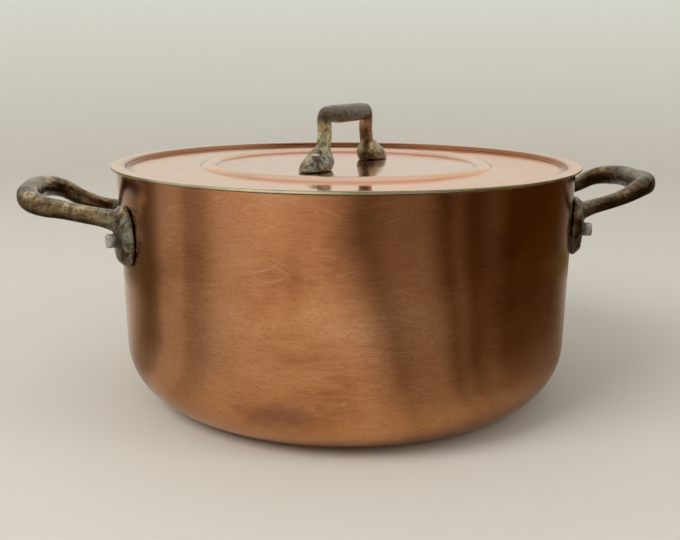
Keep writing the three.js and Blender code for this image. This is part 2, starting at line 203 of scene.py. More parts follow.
def raise_surface(tree, shader, layers):
    """Bumps the surface by several heights, each with its depth in metres."""
    normal = None
    for height, depth in layers:
        bump = put(tree, "Bump", {"Height": height, "Distance": depth, "Strength": 1.0})
        if normal is not None:
            tree.links.new(normal, bump.inputs["Normal"])
        normal = bump.outputs["Normal"]
    tree.links.new(normal, shader.inputs["Normal"])


def polished_copper():
    """Copper rubbed round and round: amber in the bend as a painted reflection, browner to the rim, with grit
    and hair scratches.
    """
    finish, tree, shader = new_finish("polished_copper")
    height = along(tree, "Z")
    lines = mottle(tree, 90, (1, 1, 14), detail=5, roughness=0.7)
    fine_lines = mottle(tree, 160, (1, 1, 30), detail=3, move=(3, 1, 0))
    clouds = mottle(tree, 16, (1, 1, 1.4), detail=5, roughness=0.6, distortion=0.4)
    shade = sums(tree, "ADD", times(tree, clouds, 0.76), times(tree, lines, 0.24))
    colour = tones(tree, shade, [
        (0.32, (0.320, 0.120, 0.045)),
        (0.44, (0.520, 0.230, 0.100)),
        (0.55, (0.615, 0.295, 0.142)),
        (0.68, (0.690, 0.370, 0.205)),
    ])
    # Painted reflection: the bend is coloured amber, as if it mirrored a warm brown floor.
    amber = times(tree, between(tree, height, *AMBER_REFLECTION_BAND), between(tree, clouds, 0.3, 0.6, 0.5, 1.0))
    colour = over(tree, amber, colour, (0.660, 0.305, 0.115, 1))
    browned = between(tree, height, *BROWN_BAND, 0.0, 0.38)
    colour = over(tree, browned, colour, (0.400, 0.170, 0.090, 1))
    smudge = times(tree, patch(tree, SMUDGE_PLACE, SMUDGE_SIZE, ragged=1.4), 0.62)
    colour = over(tree, smudge, colour, (0.190, 0.085, 0.070, 1))
    grit = mottle(tree, 620, (1, 1, 2.2), detail=3, roughness=0.7)
    gritty = times(tree, between(tree, grit, 0.54, 0.38, 0.0, 0.42),
                   between(tree, lines, 0.40, 0.60, 1.0, 0.5))
    colour = over(tree, gritty, colour, (0.300, 0.120, 0.060, 1))
    steep = sums(tree, "MAXIMUM", hair_lines(tree, 0.05, (0, 0, 0)), hair_lines(tree, 0.45, (0.4, 0.2, 0.1)))
    hairs = sums(tree, "MAXIMUM", steep, hair_lines(tree, -0.30, (0.7, 0.1, 0.3)))
    colour = over(tree, times(tree, hairs, 0.24), colour, (0.860, 0.520, 0.330, 1))
    tree.links.new(colour, shader.inputs["Base Color"])
    dull = sums(tree, "ADD", between(tree, clouds, 0.35, 0.7, 0.05, 0.10), times(tree, fine_lines, 0.07))
    tree.links.new(dull, shader.inputs["Roughness"])
    shader.inputs["Metallic"].default_value = 1.0
    shader.inputs["Anisotropic"].default_value = 0.72
    around = put(tree, "Tangent", direction_type="RADIAL", axis="Z")
    tree.links.new(around.outputs[0], shader.inputs["Tangent"])
    raise_surface(tree, shader, [
        (mottle(tree, 11, (1, 1, 1.6), detail=2), 0.0006),
        (lines, 0.00003),
        (fine_lines, 0.00001),
    ])
    return finish


def wiped_tin():
    """Tin wiped on while hot: dull and grey, with soft level wipes."""
    finish, tree, shader = new_finish("wiped_tin")
    wipes = mottle(tree, 30, (1, 1, 6), detail=5)
    clouds = mottle(tree, 22, detail=4)
    colour = tones(tree, clouds, [
        (0.35, (0.36, 0.345, 0.32)),
        (0.55, (0.50, 0.485, 0.46)),
        (0.70, (0.58, 0.570, 0.54)),
    ])
    tree.links.new(colour, shader.inputs["Base Color"])
    tree.links.new(between(tree, wipes, 0.3, 0.7, 0.30, 0.46), shader.inputs["Roughness"])
    shader.inputs["Metallic"].default_value = 1.0
    raise_surface(tree, shader, [(wipes, 0.00006)])
    return finish


def is_inside(face):
    """Tells the faces that are tinned: the wall's that look to the axis and the floor's that look up."""
    middle = face.calc_center_median()
    outwards = Vector((middle.x, middle.y, 0)).normalized()
    return face.normal.dot(outwards) < -0.05 or (face.normal.z > 0.5 and middle.z < POT_HEIGHT / 2)


# The rings of points near the rim keep its rounding from shading the wall below it.
bm = bmesh.new()
line = draw_line(bm, [
    (0, 0),
    (wall_radius(0), 0),
    (wall_radius(NEAR_RIM), NEAR_RIM),
    (RIM_RADIUS, POT_HEIGHT),
    (RIM_RADIUS - WALL, POT_HEIGHT),
    (wall_radius(NEAR_RIM) - WALL, NEAR_RIM),
    (wall_radius(FLOOR) - WALL, FLOOR),
    (0, FLOOR),
])
rim = line[3:5]
bends = [(line[1], BOTTOM_BEND), (line[6], BOTTOM_BEND - FLOOR)]
for corner, radius in bends:
    round_corner(bm, [corner], radius, 22)
round_corner(bm, rim, RIM_EASE, 3)
bmesh.ops.subdivide_edges(bm, edges=[e for e in bm.edges if e.calc_length() > 0.05], cuts=14)
turn_on_lathe(bm, SHEET_TURNS)
for face in bm.faces:
    face.material_index = int(is_inside(face))
copper, tin = polished_copper(), wiped_tin()
pot_body = make_piece("copper_body", bm, [copper, tin])
fit_piece(pot_body, "pot", "copper_body", "pot_body")

# Side handles
# Each side handle is one bronze casting: a bail that grows out of two pads, with a thin web between them.
# The pads are curved to the wall, spot-faced for the rivets, and keep their casting skin and old patina.

PAD_TURN = radians(19.3)
PAD_HALF = Vector((0.0123, 0.015))
PAD_MIDDLE = POT_HEIGHT - 0.0292
PAD_CROWN = 0.006
PAD_EDGE = 0.0018
WEB = 0.0025
WEB_HALF_HEIGHT = 0.0085
WEB_ABOVE_PADS = 0.002
WEB_WIDENS = 0.0032
SEAT_GAP = 0.0003
BAIL_REACH = 0.0497
BAIL_HALF_SPAN = 0.0316
ROOT_HEIGHT = PAD_MIDDLE + 0.0078
ROOT_FLARE = 0.0013
FLARE_RUN = 0.008
CROSSBAR_HALF = 0.0055
CASTING_EASE = 0.0003
CROSSBAR_RADIUS = RIM_RADIUS + BAIL_REACH - CROSSBAR_HALF - CASTING_EASE
SQUARENESS = 0.86
RIVET_HEIGHT = PAD_MIDDLE - 0.0017
RIVET_SHANK = 0.003
RIVET_TAIL = 0.0034
SPOT_DEPTH = 0.0003
SPOT_MARGIN = 0.0008
BORE_START = 0.11
BORE_END = 0.16

# Steps in from a pad's edge to its crown: share of its half width, and rise. A bevel, then a low crown.
PAD_STEPS = [(0.03, 0.0004), (0.03, 0.0005), (0.12, 0.0018), (0.04, 0.0004)] + [(0.1, 0.00018)] * 7

# Where tones of the bronze fade in, from the first value to the second: heights on the lid handle, which
# is cast of the same bronze, distances from the pot's axis, and places from front to back.
LID_BAND = (0.1200, 0.1205)
FOOT_BAND = (0.1370, 0.1290)
LEG_START = (0.1300, 0.1360)
LEG_END = (0.1480, 0.1440)
GRIP_BAND = (0.1440, 0.1475)
WALL_BAND = (0.1345, 0.1255)
RUBBED_BAND = (0.152, 0.132)
TO_THE_BACK = (-0.004, 0.004)

# How much of the bail's rise each prong has made at three places on its way out.
FRONT_PRONG = (0.21, 0.53, 0.88)
BACK_PRONG = (0.05, 0.43, 0.83)

# The two castings differ: how far each sits lower, the rise of its bail, the half width of its prongs,
# the drop of its back pad below the front one, and the sag of its front prong.
SIDES = (
    {"name": "right", "mirror": 1, "lower": 0.0, "rise": 0.011, "prong": 0.0037,
     "drop": 0.0025, "sag": 0.0},
    {"name": "left", "mirror": -1, "lower": 0.001, "rise": 0.0097, "prong": 0.0044,
     "drop": 0.005, "sag": 0.0024},
)


def ends_of(casting):
    """The two pads of a casting: name, side and how far it lies below the front one."""
    return ("a", -1, 0.0), ("b", 1, casting["drop"])


def pad_face(height):
    """Radius of the spot face round a rivet."""
    return wall_radius(height) + PAD_CROWN - SPOT_DEPTH


def smooth_line(points, steps):
    """Points at even steps along a smooth curve through the given points, and its length."""
    curve = bpy.data.curves.new("line", "CURVE")
    curve.dimensions = "3D"
    spline = curve.splines.new("BEZIER")
    spline.bezier_points.add(len(points) - 1)
    for place, point in zip(spline.bezier_points, points):
        place.co = point
        place.handle_left_type = place.handle_right_type = "AUTO"
    spline.resolution_u = 24
    shown = bpy.data.objects.new("line", curve)
    bpy.context.collection.objects.link(shown)
    bpy.context.view_layer.update()
    mesh = shown.evaluated_get(bpy.context.evaluated_depsgraph_get()).to_mesh()
    fine = [v.co.copy() for v in mesh.vertices]
    bpy.data.objects.remove(shown)
    run = [0.0]
    for a, b in zip(fine, fine[1:]):
        run.append(run[-1] + (b - a).length)
    even = []
    for i in range(steps + 1):
        wanted = run[-1] * i / steps
        k = min(bisect_right(run, wanted + 1e-12) - 1, len(fine) - 2)
        share = (wanted - run[k]) / (run[k + 1] - run[k])
        even.append(fine[k].lerp(fine[k + 1], share))
    return even, run[-1]


def way_in(i, points):
    """How far point i lies from the nearer end of its line, as a share of the whole."""
    return min(i, len(points) - 1 - i) / (len(points) - 1)


def swell(way, start, run):
    """0 up to start, 1 from start plus run on, and a smooth rise between them."""
    share = min(max((way - start) / run, 0), 1)
    return share * share * (3 - 2 * share)


def squared(across):
    """Takes a place on the unit circle to a circle that is a little squared, as a cast section is."""
    return Vector([copysign(abs(c) ** SQUARENESS, c) for c in across])


def cast_bar(bm, points, halves, upwards):
    """Draws a closed bar along points. Halves gives its half width and half height at each."""
    upwards = Vector(upwards)
    frames = []
    for i, (point, (width, height)) in enumerate(zip(points, halves)):
        ahead = (points[min(i + 1, len(points) - 1)] - points[max(i - 1, 0)]).normalized()
        up = (upwards - ahead * upwards.dot(ahead)).normalized()
        side = up.cross(ahead)
        turn = Matrix((side * width, up * height, ahead)).transposed().to_4x4()
        frames.append(Matrix.Translation(point) @ turn)
    ring = bmesh.ops.create_circle(bm, cap_ends=False, segments=24, radius=1)["verts"]
    for corner in ring:
        corner.co.xy = squared(corner.co.xy)
    first = list({edge for corner in ring for edge in corner.link_edges})
    bmesh.ops.transform(bm, matrix=frames[0], verts=ring)
    edges = first
    for last, here in zip(frames, frames[1:]):
        made = bmesh.ops.extrude_edge_only(bm, edges=edges)["geom"]
        edges = [part for part in made if isinstance(part, bmesh.types.BMEdge)]
        corners = [part for part in made if isinstance(part, bmesh.types.BMVert)]
        bmesh.ops.transform(bm, matrix=here @ last.inverted(), verts=corners)
    bmesh.ops.edgeloop_fill(bm, edges=first)
    bmesh.ops.edgeloop_fill(bm, edges=edges)


def wrap_on_wall(corners):
    """Lays a flat form against the wall: along, height and thickness."""
    for corner in corners:
        along_wall, height, thickness = corner.co
        radius = wall_radius(height) + SEAT_GAP + thickness
        turn = along_wall / RIM_RADIUS
        corner.co = (radius * cos(turn), radius * sin(turn), height)


def flat_end(bm, before, way):
    """The flat end of a new form that looks up (1) or down (-1)."""
    return next(f for f in bm.faces if f.normal.z * way > 0.9 and before.isdisjoint(f.verts))


def cast_pad(bm, side, drop):
    """A round disc is stepped up to its crown, squared, stretched and laid on the wall."""
    before = set(bm.verts)
    bmesh.ops.create_cone(bm, cap_ends=True, segments=64, radius1=1, radius2=1, depth=PAD_EDGE,
                          matrix=Matrix.Translation((0, 0, PAD_EDGE / 2)))
    crown = flat_end(bm, before, 1)
    for width, rise in PAD_STEPS:
        bmesh.ops.inset_region(bm, faces=[crown], thickness=width, depth=0, use_even_offset=True)
        bmesh.ops.translate(bm, verts=crown.verts[:], vec=(0, 0, rise))
    back = flat_end(bm, before, -1)
    for _ in range(8):
        bmesh.ops.inset_region(bm, faces=[back], thickness=0.11, depth=0, use_even_offset=True)
    corners = [v for v in bm.verts if v not in before]
    for corner in corners:
        across = corner.co.xy.normalized()
        corner.co.xy = squared(across) * corner.co.xy.length
    scale = Matrix.Diagonal((PAD_HALF.x, PAD_HALF.y, 1, 1))
    move = Matrix.Translation((side * PAD_TURN * RIM_RADIUS, PAD_MIDDLE - drop, 0))
    bmesh.ops.transform(bm, matrix=move @ scale, verts=corners)
    wrap_on_wall(corners)


def cast_web(bm, back_drop):
    """The first form of a casting: a cube, finely divided so that it can bend with the wall."""
    bmesh.ops.create_cube(bm, size=2)
    bmesh.ops.subdivide_edges(bm, edges=bm.edges[:], cuts=21, use_grid_fill=True)
    for corner in bm.verts:
        share = corner.co.x
        middle = PAD_MIDDLE + WEB_ABOVE_PADS - back_drop * (1 + share) / 2
        height = WEB_HALF_HEIGHT + WEB_WIDENS * share ** 2
        corner.co = (share * PAD_TURN * RIM_RADIUS, middle + corner.co.y * height,
                     (corner.co.z + 1) / 2 * WEB)
    wrap_on_wall(bm.verts)


def prong_line(casting, side, drop, sag, shares):
    """From the root on the pad out to the corner of the crossbar."""
    root = Vector((RIM_RADIUS * cos(PAD_TURN), RIM_RADIUS * sin(PAD_TURN), ROOT_HEIGHT - drop))
    grip = CROSSBAR_RADIUS
    reach, lean, rise = grip - root.x, root.y - BAIL_HALF_SPAN, casting["rise"] + drop
    low, middle, high = shares
    half = [
        root,
        root + Vector((0.32 * reach, -0.45 * lean, low * rise)),
        root + Vector((0.60 * reach, -0.84 * lean, middle * rise - 0.2 * sag)),
        Vector((grip - 0.33 * BAIL_HALF_SPAN, 0.94 * BAIL_HALF_SPAN, root.z + high * rise - sag)),
        Vector((grip - 0.07 * BAIL_HALF_SPAN, 0.60 * BAIL_HALF_SPAN, root.z + rise - 0.6 * sag)),
    ]
    return [Vector((p.x, side * p.y, p.z)) for p in half]


def cast_side_handle(casting):
    """Web, bail and pads of one casting. The bail flares at its roots and swells towards the crossbar."""
    bm = bmesh.new()
    cast_web(bm, casting["drop"])
    middle = Vector((CROSSBAR_RADIUS, 0, ROOT_HEIGHT + casting["rise"]))
    front = prong_line(casting, -1, 0.0, casting["sag"], FRONT_PRONG)
    back = prong_line(casting, 1, casting["drop"], 0.0, BACK_PRONG)
    points, length = smooth_line([*back, middle, *reversed(front)], 110)
    halves = []
    for i, point in enumerate(points):
        way = way_in(i, points)
        flare = ROOT_FLARE * exp(-((way * length / FLARE_RUN) ** 2))
        size = casting["prong"] + (CROSSBAR_HALF - casting["prong"]) * swell(way, 0.15, 0.23) + flare
        halves.append((size, size))
        point.z -= flare
    cast_bar(bm, points, halves, (0, 0, 1))
    for _, side, drop in ends_of(casting):
        cast_pad(bm, side, drop)
    bmesh.ops.recalc_face_normals(bm, faces=bm.faces[:])
    return bm


def apply_modifiers(piece):
    bpy.context.view_layer.update()
    shaped = piece.evaluated_get(bpy.context.evaluated_depsgraph_get())
    mesh = bpy.data.meshes.new_from_object(shaped)
    piece.modifiers.clear()
    piece.data = mesh


def pour(piece, grain, soften):
    """Runs overlapping forms together into one casting with soft inside corners."""
    skin = piece.modifiers.new("skin", "REMESH")
    skin.mode, skin.voxel_size, skin.use_smooth_shade = "VOXEL", grain, True
    ease = piece.modifiers.new("ease", "SMOOTH")
    ease.factor, ease.iterations = 0.5, soften
    apply_modifiers(piece)


def cut_with_peg(piece, radius, start, end):
    """Drills or spot-faces a piece with a round cutter between two points."""
    start, end = Vector(start), Vector(end)
    turn = (end - start).to_track_quat("Z", "Y").to_matrix().to_4x4()
    cutter = bmesh.new()
    bmesh.ops.create_cone(cutter, cap_ends=True, segments=48, radius1=radius, radius2=radius,
                          depth=(end - start).length,
                          matrix=Matrix.Translation((start + end) / 2) @ turn)
    peg = make_piece("cutter", cutter, [])
    cut = piece.modifiers.new("cut", "BOOLEAN")
    cut.operation, cut.solver, cut.object = "DIFFERENCE", "EXACT", peg
    apply_modifiers(piece)
    bpy.data.objects.remove(peg)


def mark_underside(piece):
    """Notes for each point how far it faces down: 0 up, 1 down. The bronze finish paints shade on the
    undersides.
    """
    mark = piece.data.attributes.new("underside", "FLOAT", "POINT")
    for point, note in zip(piece.data.vertices, mark.data):
        note.value = 0.5 - 0.5 * point.normal.z


def distance_from_axis(tree):
    level = put(tree, "VectorMath", {0: piece_coordinates(tree), 1: (1, 1, 0)}, operation="MULTIPLY")
    return put(tree, "VectorMath", {0: level.outputs[0]}, operation="LENGTH").outputs["Value"]


def seldom_wiped_places(tree, on_lid):
    """Near the wall on the side handles, and at the feet of the lid handle, most of all the front foot."""
    at_wall = between(tree, distance_from_axis(tree), *WALL_BAND)
    at_foot = times(tree, between(tree, along(tree, "Z"), *FOOT_BAND),
                    between(tree, along(tree, "Y"), *TO_THE_BACK, 1.0, 0.35))
    return put(tree, "Mix", {0: on_lid, 2: at_wall, 3: at_foot}).outputs[0]


def old_bronze():
    """Dark handled bronze with worn spots, green-grey patina where it is seldom wiped, painted shade below
    and on the right casting, and a painted highlight on the front leg of the lid handle.
    """
    finish, tree, shader = new_finish("old_bronze")
    height = along(tree, "Z")
    on_lid = between(tree, height, *LID_BAND)
    seldom_wiped = seldom_wiped_places(tree, on_lid)
    clouds = mottle(tree, 60, detail=6, roughness=0.65, distortion=0.5)
    blotches = mottle(tree, 150, detail=5, roughness=0.7, move=(5, 0, 2))
    pits = mottle(tree, 260, detail=3, move=(1, 2, 3))
    grain = mottle(tree, 420, detail=5, roughness=0.7)

    # Casting skin: brown clouds with a dark speckle, rubbed bare in spots
    colour = tones(tree, clouds, [
        (0.37, (0.036, 0.020, 0.009)),
        (0.45, (0.130, 0.076, 0.034)),
        (0.53, (0.350, 0.225, 0.112)),
        (0.62, (0.720, 0.540, 0.310)),
    ])
    speckle = between(tree, grain, 0.54, 0.43, 0.0, 0.60)
    colour = over(tree, speckle, colour, (0.035, 0.022, 0.012, 1))
    worn = between(tree, mottle(tree, 95, detail=4, move=(2, 7, 1)), 0.54, 0.66)
    rubbed = times(tree, worn, between(tree, distance_from_axis(tree), *RUBBED_BAND, 0.1, 0.85))
    bare = over(tree, on_lid, (0.44, 0.200, 0.085, 1), (0.42, 0.340, 0.190, 1))
    colour = over(tree, rubbed, colour, bare)

    # Lid handle: a painted highlight makes the front leg pale, the back leg is browner, and the grip dark
    on_legs = times(tree, between(tree, height, *LEG_START), between(tree, height, *LEG_END))
    behind = between(tree, along(tree, "Y"), *TO_THE_BACK)
    leg_highlight_and_brown_tone = over(tree, behind, (0.80, 0.710, 0.430, 1), (0.46, 0.230, 0.105, 1))
    # Painted highlight: the pale tone on the front leg.
    pale = times(tree, on_legs, between(tree, clouds, 0.40, 0.56, 0.15, 0.9))
    colour = over(tree, pale, colour, leg_highlight_and_brown_tone)
    on_grip = times(tree, between(tree, height, *GRIP_BAND), between(tree, clouds, 0.42, 0.62, 1.0, 0.86))
    colour = over(tree, on_grip, colour, (0.100, 0.070, 0.045, 1))

    # Patina and pits
    green = times(tree, between(tree, blotches, 0.44, 0.60), between(tree, seldom_wiped, 0.0, 1.0, 0.12, 0.8))
    colour = over(tree, green, colour, (0.45, 0.45, 0.36, 1))
    specks = times(tree, between(tree, pits, 0.46, 0.38), between(tree, seldom_wiped, 0.0, 1.0, 0.2, 0.75))
    colour = over(tree, specks, colour, (0.060, 0.045, 0.028, 1))

    # Painted shade: the right casting is darkened, and all three are darkened on their undersides
    browner = times(tree, between(tree, along(tree, "X"), 0.08, 0.13),
                    between(tree, on_lid, 0.0, 1.0, 0.40, 0.0))
    colour = over(tree, browner, colour, (0.050, 0.033, 0.014, 1))
    below = put(tree, "Attribute", attribute_name="underside").outputs["Fac"]
    # Painted shade: faces that look down are darkened, less on the legs and where patina lies.
    less_painted_shade = sums(tree, "MAXIMUM", seldom_wiped, on_legs)
    painted_underside_shade = times(tree, between(tree, below, 0.30, 0.68, 0.0, 0.85),
                 between(tree, less_painted_shade, 0.0, 1.0, 1.0, 0.35))
    colour = over(tree, painted_underside_shade, colour, (0.030, 0.020, 0.012, 1))

    tree.links.new(colour, shader.inputs["Base Color"])
    dull = sums(tree, "ADD", between(tree, clouds, 0.3, 0.7, 0.13, 0.25), times(tree, green, 0.20))
    tree.links.new(dull, shader.inputs["Roughness"])
    shader.inputs["Metallic"].default_value = 0.9
    raise_surface(tree, shader, [
        (clouds, 0.0006),
        (between(tree, pits, 0.36, 0.5), 0.00022),
        (grain, 0.00012),
    ])
    return finish


# Both castings are made on the right. The left one is mirrored at the end.
bronze = old_bronze()
for casting in SIDES:
    handle = make_piece(casting["name"] + "_side_handle", cast_side_handle(casting), [])
    pour(handle, grain=0.0006, soften=5)
    for _, side, drop in ends_of(casting):
        out = Vector((cos(side * PAD_TURN), sin(side * PAD_TURN), 0))
        height = Vector((0, 0, RIVET_HEIGHT - drop))
        face = pad_face(RIVET_HEIGHT - drop)
        cut_with_peg(handle, RIVET_SHANK + SEAT_GAP, out * BORE_START + height, out * BORE_END + height)
        cut_with_peg(handle, RIVET_TAIL + SPOT_MARGIN, out * face + height, out * BORE_END + height)
    shape = bmesh.new()
    shape.from_mesh(handle.data)
    bmesh.ops.scale(shape, verts=shape.verts[:], vec=(casting["mirror"], 1, 1))
    bmesh.ops.translate(shape, verts=shape.verts[:], vec=(0, 0, -casting["lower"]))
    bmesh.ops.recalc_face_normals(shape, faces=shape.faces[:])
    shape.to_mesh(handle.data)
    shape.free()
    handle.data.materials.append(bronze)
    mark_underside(handle)
    fit_piece(handle, "pot", "bronze", casting["name"] + "_handle")

# Rivets of the side handles
# Each rivet goes through wall and pad: its domed head lies inside the pot, its plain tail stands out.
# They are of a duller, greyer metal than the castings, and their cut ends are filed by hand.

HEAD_RADIUS = 0.0056
HEAD_HEIGHT = 0.0022
TAIL_LENGTH = 0.0044
RIVET_TURNS = 40


def dull_rivet_metal():
    finish, tree, shader = new_finish("dull_rivet_metal")
    clouds = mottle(tree, 260, detail=5, roughness=0.65)
    colour = tones(tree, clouds, [
        (0.36, (0.30, 0.29, 0.250)),
        (0.50, (0.64, 0.63, 0.575)),
        (0.64, (0.84, 0.83, 0.770)),
    ])
    tree.links.new(colour, shader.inputs["Base Color"])
    tree.links.new(between(tree, clouds, 0.3, 0.7, 0.40, 0.56), shader.inputs["Roughness"])
    shader.inputs["Metallic"].default_value = 0.7
    raise_surface(tree, shader, [(clouds, 0.00022)])
    return finish


rivet_metal = dull_rivet_metal()
for casting in SIDES:
    for end, side, drop in ends_of(casting):
        height = RIVET_HEIGHT - drop
        inner_face = ((wall_radius(height) - WALL) ** 2 - HEAD_RADIUS ** 2) ** 0.5 - SEAT_GAP
        tail_face = pad_face(height) + SEAT_GAP
        bm = bmesh.new()
        line = draw_line(bm, [
            (0, inner_face - HEAD_HEIGHT),
            (0.65 * HEAD_RADIUS, inner_face - 0.85 * HEAD_HEIGHT),
            (HEAD_RADIUS, inner_face - 0.1 * HEAD_HEIGHT),
            (HEAD_RADIUS - 0.0002, inner_face),
            (RIVET_SHANK, inner_face),
            (RIVET_SHANK, tail_face),
            (RIVET_TAIL, tail_face),
            (RIVET_TAIL, tail_face + TAIL_LENGTH),
            (0, tail_face + TAIL_LENGTH + 0.0002),
        ])
        dome, tail_end = line[1], line[7]
        round_corner(bm, [dome], 0.0014, 5)
        round_corner(bm, [tail_end], 0.0008, 5)
        turn_on_lathe(bm, RIVET_TURNS)
        turn = side * PAD_TURN if casting["mirror"] > 0 else pi - side * PAD_TURN
        lay = Matrix.Rotation(turn, 4, "Z") @ Matrix.Translation((0, 0, height - casting["lower"]))
        bmesh.ops.transform(bm, matrix=lay @ Matrix.Rotation(pi / 2, 4, "Y"), verts=bm.verts[:])
        rivet = make_piece(casting["name"] + "_pad_rivet_" + end, bm, [rivet_metal])
        fit_piece(rivet, "pot", "rivet_metal", casting["name"] + "_handle_rivet_" + end)

# Lid
# The lid is one pressed copper sheet: a flange that lies on the rim, a shallow drop wall, a flat field,
# a raised ring bead for stiffness, and a middle disc. The top is polished bright, the underside tinned.

LID_SHEET = 0.0014
LID_PLAY = 0.001
FIELD_DEPTH = 0.0022
FLANGE_RADIUS = 0.12299
FLANGE_TOP = POT_HEIGHT + SEAT_GAP + LID_SHEET
DISC_TOP = FLANGE_TOP - FIELD_DEPTH
DROP_WALL = RIM_RADIUS - WALL - LID_PLAY - LID_SHEET
BEAD_RADIUS = 0.0729
BEAD_HALF = 0.0046
BEAD_RISE = 0.0021
BEAD_STEPS = 16
LID_SHOULDER = 0.0015
LID_CORNER = 0.0006
LID_EDGE_EASE = 0.0003
EDGE_MARGIN = 0.0008
CREASE_MARGIN = 0.0006


def ring_at(tree, radius, fade):
    """1 on a ring round the pot's axis, fading to 0 at a distance from it."""
    return between(tree, apart(tree, distance_from_axis(tree), radius), fade, 0.3 * fade)


def bright_copper():
    """Bright copper, rosier past the ring bead and more orange to the right with a painted reflection, with
    painted shade in the creases of the bead and the corner of the drop wall.
    """
    finish, tree, shader = new_finish("bright_copper")
    turning = mottle(tree, 26, (1, 1, 6), detail=5)
    scratches = mottle(tree, 900, (1, 0.06, 1), detail=2)
    clouds = mottle(tree, 20, detail=4, roughness=0.6)
    colour = tones(tree, clouds, [
        (0.35, (0.88, 0.550, 0.405)),
        (0.55, (0.94, 0.615, 0.470)),
        (0.70, (0.97, 0.665, 0.520)),
    ])
    past_bead = between(tree, distance_from_axis(tree), 0.068, 0.080)
    # Painted reflection: past the bead the copper turns more orange towards the right.
    to_the_right = between(tree, along(tree, "X"), -0.04, 0.11)
    rosy_and_painted_orange = over(tree, to_the_right, (0.98, 0.60, 0.400, 1), (1.0, 0.50, 0.270, 1))
    colour = over(tree, past_bead, colour, rosy_and_painted_orange)
    # Painted shade: the feet of the ring bead are darkened.
    inner_crease_shade = times(tree, ring_at(tree, BEAD_RADIUS - BEAD_HALF, 0.0009), 0.7)
    outer_crease_shade = times(tree, ring_at(tree, BEAD_RADIUS + BEAD_HALF, 0.0008), 0.3)
    creases = sums(tree, "ADD", inner_crease_shade, outer_crease_shade)
    colour = over(tree, creases, colour, (0.40, 0.190, 0.120, 1))
    # Painted shade: the copper darkens into the corner of the drop wall.
    corner = times(tree, ring_at(tree, DROP_WALL - 0.0010, 0.0036), 0.85)
    colour = over(tree, corner, colour, (0.30, 0.115, 0.055, 1))
    tree.links.new(colour, shader.inputs["Base Color"])
    dull = sums(tree, "ADD", between(tree, clouds, 0.35, 0.7, 0.07, 0.13), times(tree, scratches, 0.05))
    tree.links.new(dull, shader.inputs["Roughness"])
    shader.inputs["Metallic"].default_value = 1.0
    raise_surface(tree, shader, [(clouds, 0.0004), (scratches, 0.000004), (turning, 0.00002)])
    return finish


def cut_edge_tin():
    """The cut edge of the flange, yellowish where tin and bare copper meet."""
    finish, tree, shader = new_finish("cut_edge_tin")
    wear = mottle(tree, 60, detail=4)
    colour = tones(tree, wear, [
        (0.40, (0.68, 0.62, 0.41)),
        (0.60, (0.84, 0.79, 0.58)),
    ])
    tree.links.new(colour, shader.inputs["Base Color"])
    tree.links.new(between(tree, wear, 0.3, 0.7, 0.26, 0.38), shader.inputs["Roughness"])
    shader.inputs["Metallic"].default_value = 1.0
    return finish


def bead_arc():
    """Places along the ring bead, from its outer foot over its crest to its inner foot."""
    bend = (BEAD_HALF ** 2 + BEAD_RISE ** 2) / (2 * BEAD_RISE)
    arc = []
    for i in range(BEAD_STEPS + 1):
        turn = asin(BEAD_HALF / bend) * (1 - 2 * i / BEAD_STEPS)
        arc.append((BEAD_RADIUS + bend * sin(turn), DISC_TOP + BEAD_RISE - bend + bend * cos(turn)))
    return arc


def is_cut_edge(edge):
    """Tells the two sharp edges that run round the flange."""
    level = abs(edge.verts[0].co.z - edge.verts[1].co.z) < 1e-5
    return level and all(abs(v.co.xy.length - FLANGE_RADIUS) < 2e-5 for v in edge.verts)


# Each crease has a ring of points close to it, so that the flat copper beside it shines flat.
bm = bmesh.new()
line = draw_line(bm, [
    (FLANGE_RADIUS, FLANGE_TOP),
    (FLANGE_RADIUS - EDGE_MARGIN, FLANGE_TOP),
    (DROP_WALL + LID_SHOULDER + CREASE_MARGIN, FLANGE_TOP),
    (DROP_WALL, FLANGE_TOP),
    (DROP_WALL, DISC_TOP),
    (DROP_WALL - LID_CORNER - CREASE_MARGIN, DISC_TOP),
    (BEAD_RADIUS + BEAD_HALF + CREASE_MARGIN, DISC_TOP),
    *bead_arc(),
    (BEAD_RADIUS - BEAD_HALF - CREASE_MARGIN, DISC_TOP),
    (0, DISC_TOP),
])
shoulder, corner = line[3], line[4]
round_corner(bm, [shoulder], LID_SHOULDER, 8)
round_corner(bm, [corner], LID_CORNER, 4)
bmesh.ops.subdivide_edges(bm, edges=[e for e in bm.edges if e.calc_length() > 0.01], cuts=6)
turn_on_lathe(bm, SHEET_TURNS)
if sum(face.normal.z for face in bm.faces) < 0:
    bmesh.ops.reverse_faces(bm, faces=bm.faces[:])
bmesh.ops.solidify(bm, geom=bm.faces[:], thickness=LID_SHEET)
bmesh.ops.recalc_face_normals(bm, faces=bm.faces[:])
bmesh.ops.bevel(bm, geom=[e for e in bm.edges if is_cut_edge(e)], offset=LID_EDGE_EASE,
                offset_type="OFFSET", segments=3, profile=0.5, affect="EDGES", material=-1)
for face in bm.faces:
    middle = face.calc_center_median()
    outwards = Vector((middle.x, middle.y, 0)).normalized()
    at_edge = middle.xy.length > FLANGE_RADIUS - 0.0004 and face.normal.dot(outwards) > 0.3
    face.material_index = 2 if at_edge else int(face.normal.z < 0)
lid_copper, edge_tin = bright_copper(), cut_edge_tin()
lid_pan = make_piece("lid_sheet", bm, [lid_copper, tin, edge_tin])
fit_piece(lid_pan, "lid", "copper_lid", "lid_pan")

# Lid handle
# The lid handle is a bronze casting: a square-shouldered bail that widens into two toes.
# The toes lie on the middle disc and point outwards, each held down by one rivet.

